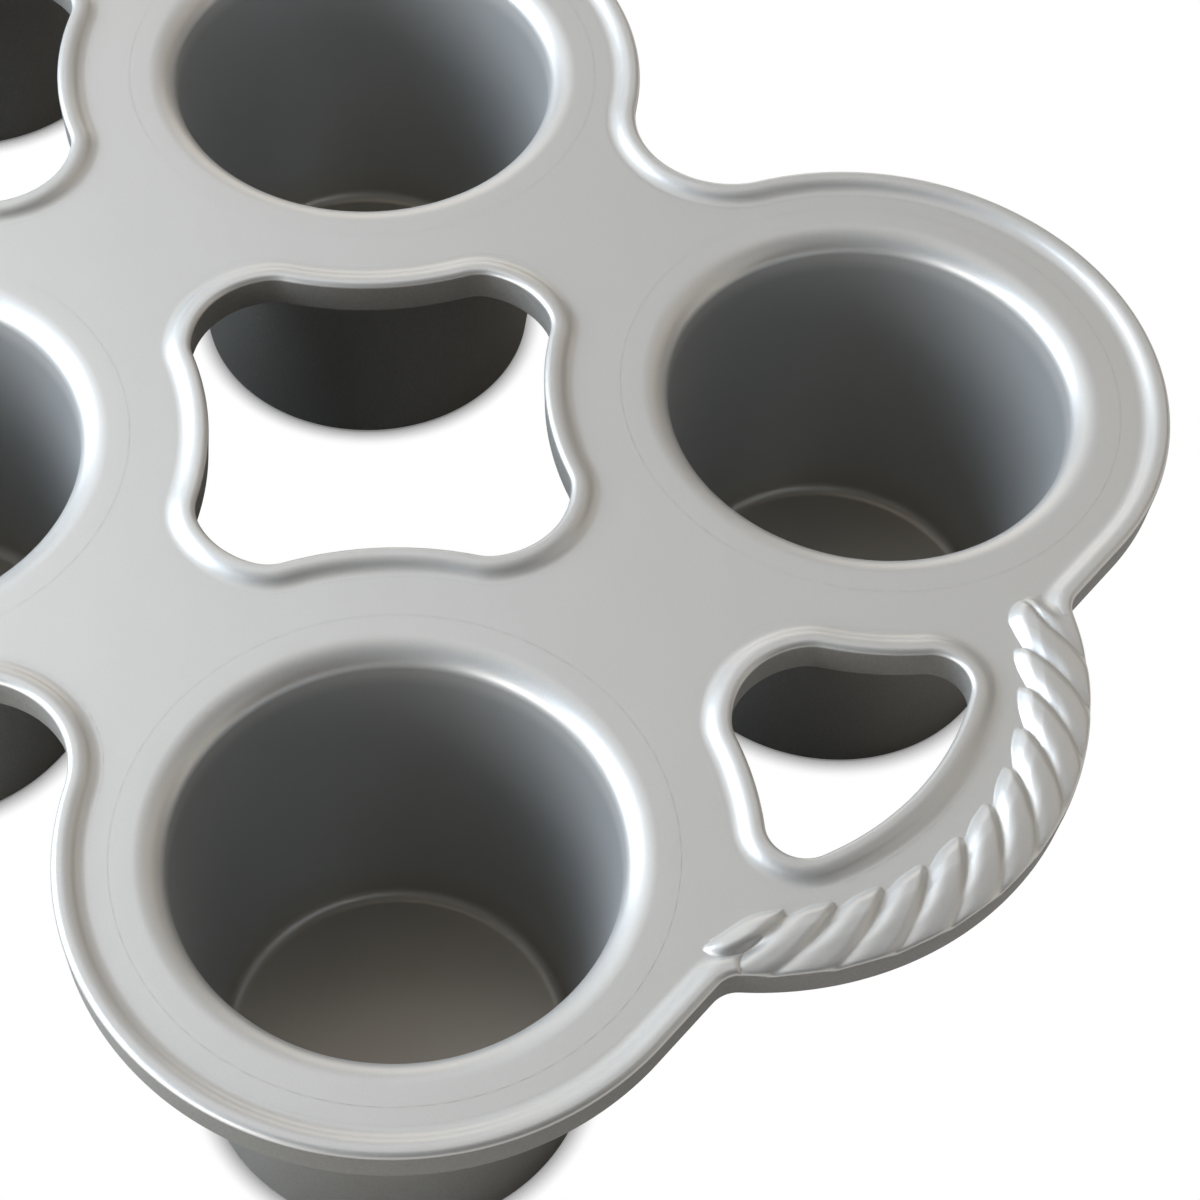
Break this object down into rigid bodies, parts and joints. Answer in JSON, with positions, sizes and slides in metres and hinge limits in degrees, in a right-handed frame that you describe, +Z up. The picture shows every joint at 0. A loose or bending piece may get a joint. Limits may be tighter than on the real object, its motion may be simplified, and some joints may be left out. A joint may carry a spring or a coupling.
{
  "type": "popover pan",
  "caption": "Cast popover pan: deep tapered cups hung from a flat deck with pierced windows, beaded edges and a rope-pattern grip at each end.",
  "frame": {"origin": "under the middle of the pan, on the plane that the feet of the cups stand on", "axes": "+X along the long rows of cups towards one rope grip, +Y across the pan, +Z up out of the cup mouths"},
  "size_m": [0.4088, 0.239, 0.0748],
  "materials": {
    "satin_coated_cast_aluminium": "satin light grey coat with a fine sparkle"
  },
  "bodies": {
    "root": {"cup_1": "satin_coated_cast_aluminium", "cup_2": "satin_coated_cast_aluminium", "cup_3": "satin_coated_cast_aluminium", "cup_4": "satin_coated_cast_aluminium", "cup_5": "satin_coated_cast_aluminium", "cup_6": "satin_coated_cast_aluminium", "deck": "satin_coated_cast_aluminium", "outer_rim": "satin_coated_cast_aluminium", "window_rim_1": "satin_coated_cast_aluminium", "window_rim_2": "satin_coated_cast_aluminium", "handle_hole_rim_1": "satin_coated_cast_aluminium", "handle_hole_rim_2": "satin_coated_cast_aluminium", "rope_grip_1": "satin_coated_cast_aluminium", "rope_grip_2": "satin_coated_cast_aluminium"}
  },
  "joints": []
}
